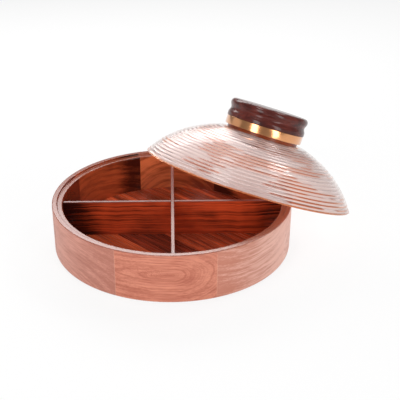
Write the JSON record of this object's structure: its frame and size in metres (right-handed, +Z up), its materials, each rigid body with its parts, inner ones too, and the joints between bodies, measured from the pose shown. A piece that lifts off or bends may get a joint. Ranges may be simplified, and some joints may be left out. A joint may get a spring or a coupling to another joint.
{
  "type": "dried fruit dish",
  "caption": "Round wooden dish with a cross divider for dried fruit, and a ribbed glass dome lid with a turned wooden knob on a brass ring, leaning open against the rim.",
  "frame": {"origin": "centre of the dish's underside, on the surface that it stands on", "axes": "+Z up along the dish's axis; +X along one divider board to the right, -Y towards the front; the lid leans at the back right"},
  "size_m": [0.3594, 0.3207, 0.154],
  "materials": {
    "wall_wood": "oiled",
    "base_wood": "gloss lacquer",
    "divider_wood": "gloss lacquer",
    "knob_wood": "gloss lacquer",
    "neck_wood": "gloss lacquer",
    "brass": "polished",
    "glass": "pressed, ribbed outside",
    "steel": "stainless",
    "gasket": "translucent silicone"
  },
  "bodies": {
    "dish": {"stave_1": "wall_wood", "stave_2": "wall_wood", "stave_3": "wall_wood", "stave_4": "wall_wood", "stave_5": "wall_wood", "stave_6": "wall_wood", "stave_7": "wall_wood", "stave_8": "wall_wood", "floor_strip_1": "base_wood", "floor_strip_2": "base_wood", "floor_strip_3": "base_wood", "floor_strip_4": "base_wood", "floor_strip_5": "base_wood", "floor_strip_6": "base_wood", "floor_strip_7": "base_wood", "divider_left_right": "divider_wood", "divider_front_back": "divider_wood"},
    "lid": {"glass_dome": "glass", "neck_disc": "neck_wood", "brass_ring": "brass", "knob": "knob_wood", "threaded_insert": "brass", "upper_gasket": "gasket", "lower_gasket": "gasket", "backing_washer": "steel", "clamp_screw": "steel"}
  },
  "joints": [
    {"name": "lid_lift", "type": "slide", "parent": "dish", "child": "lid", "axis": [0, 0, 1], "range_m": [0, 0.12]}
  ]
}
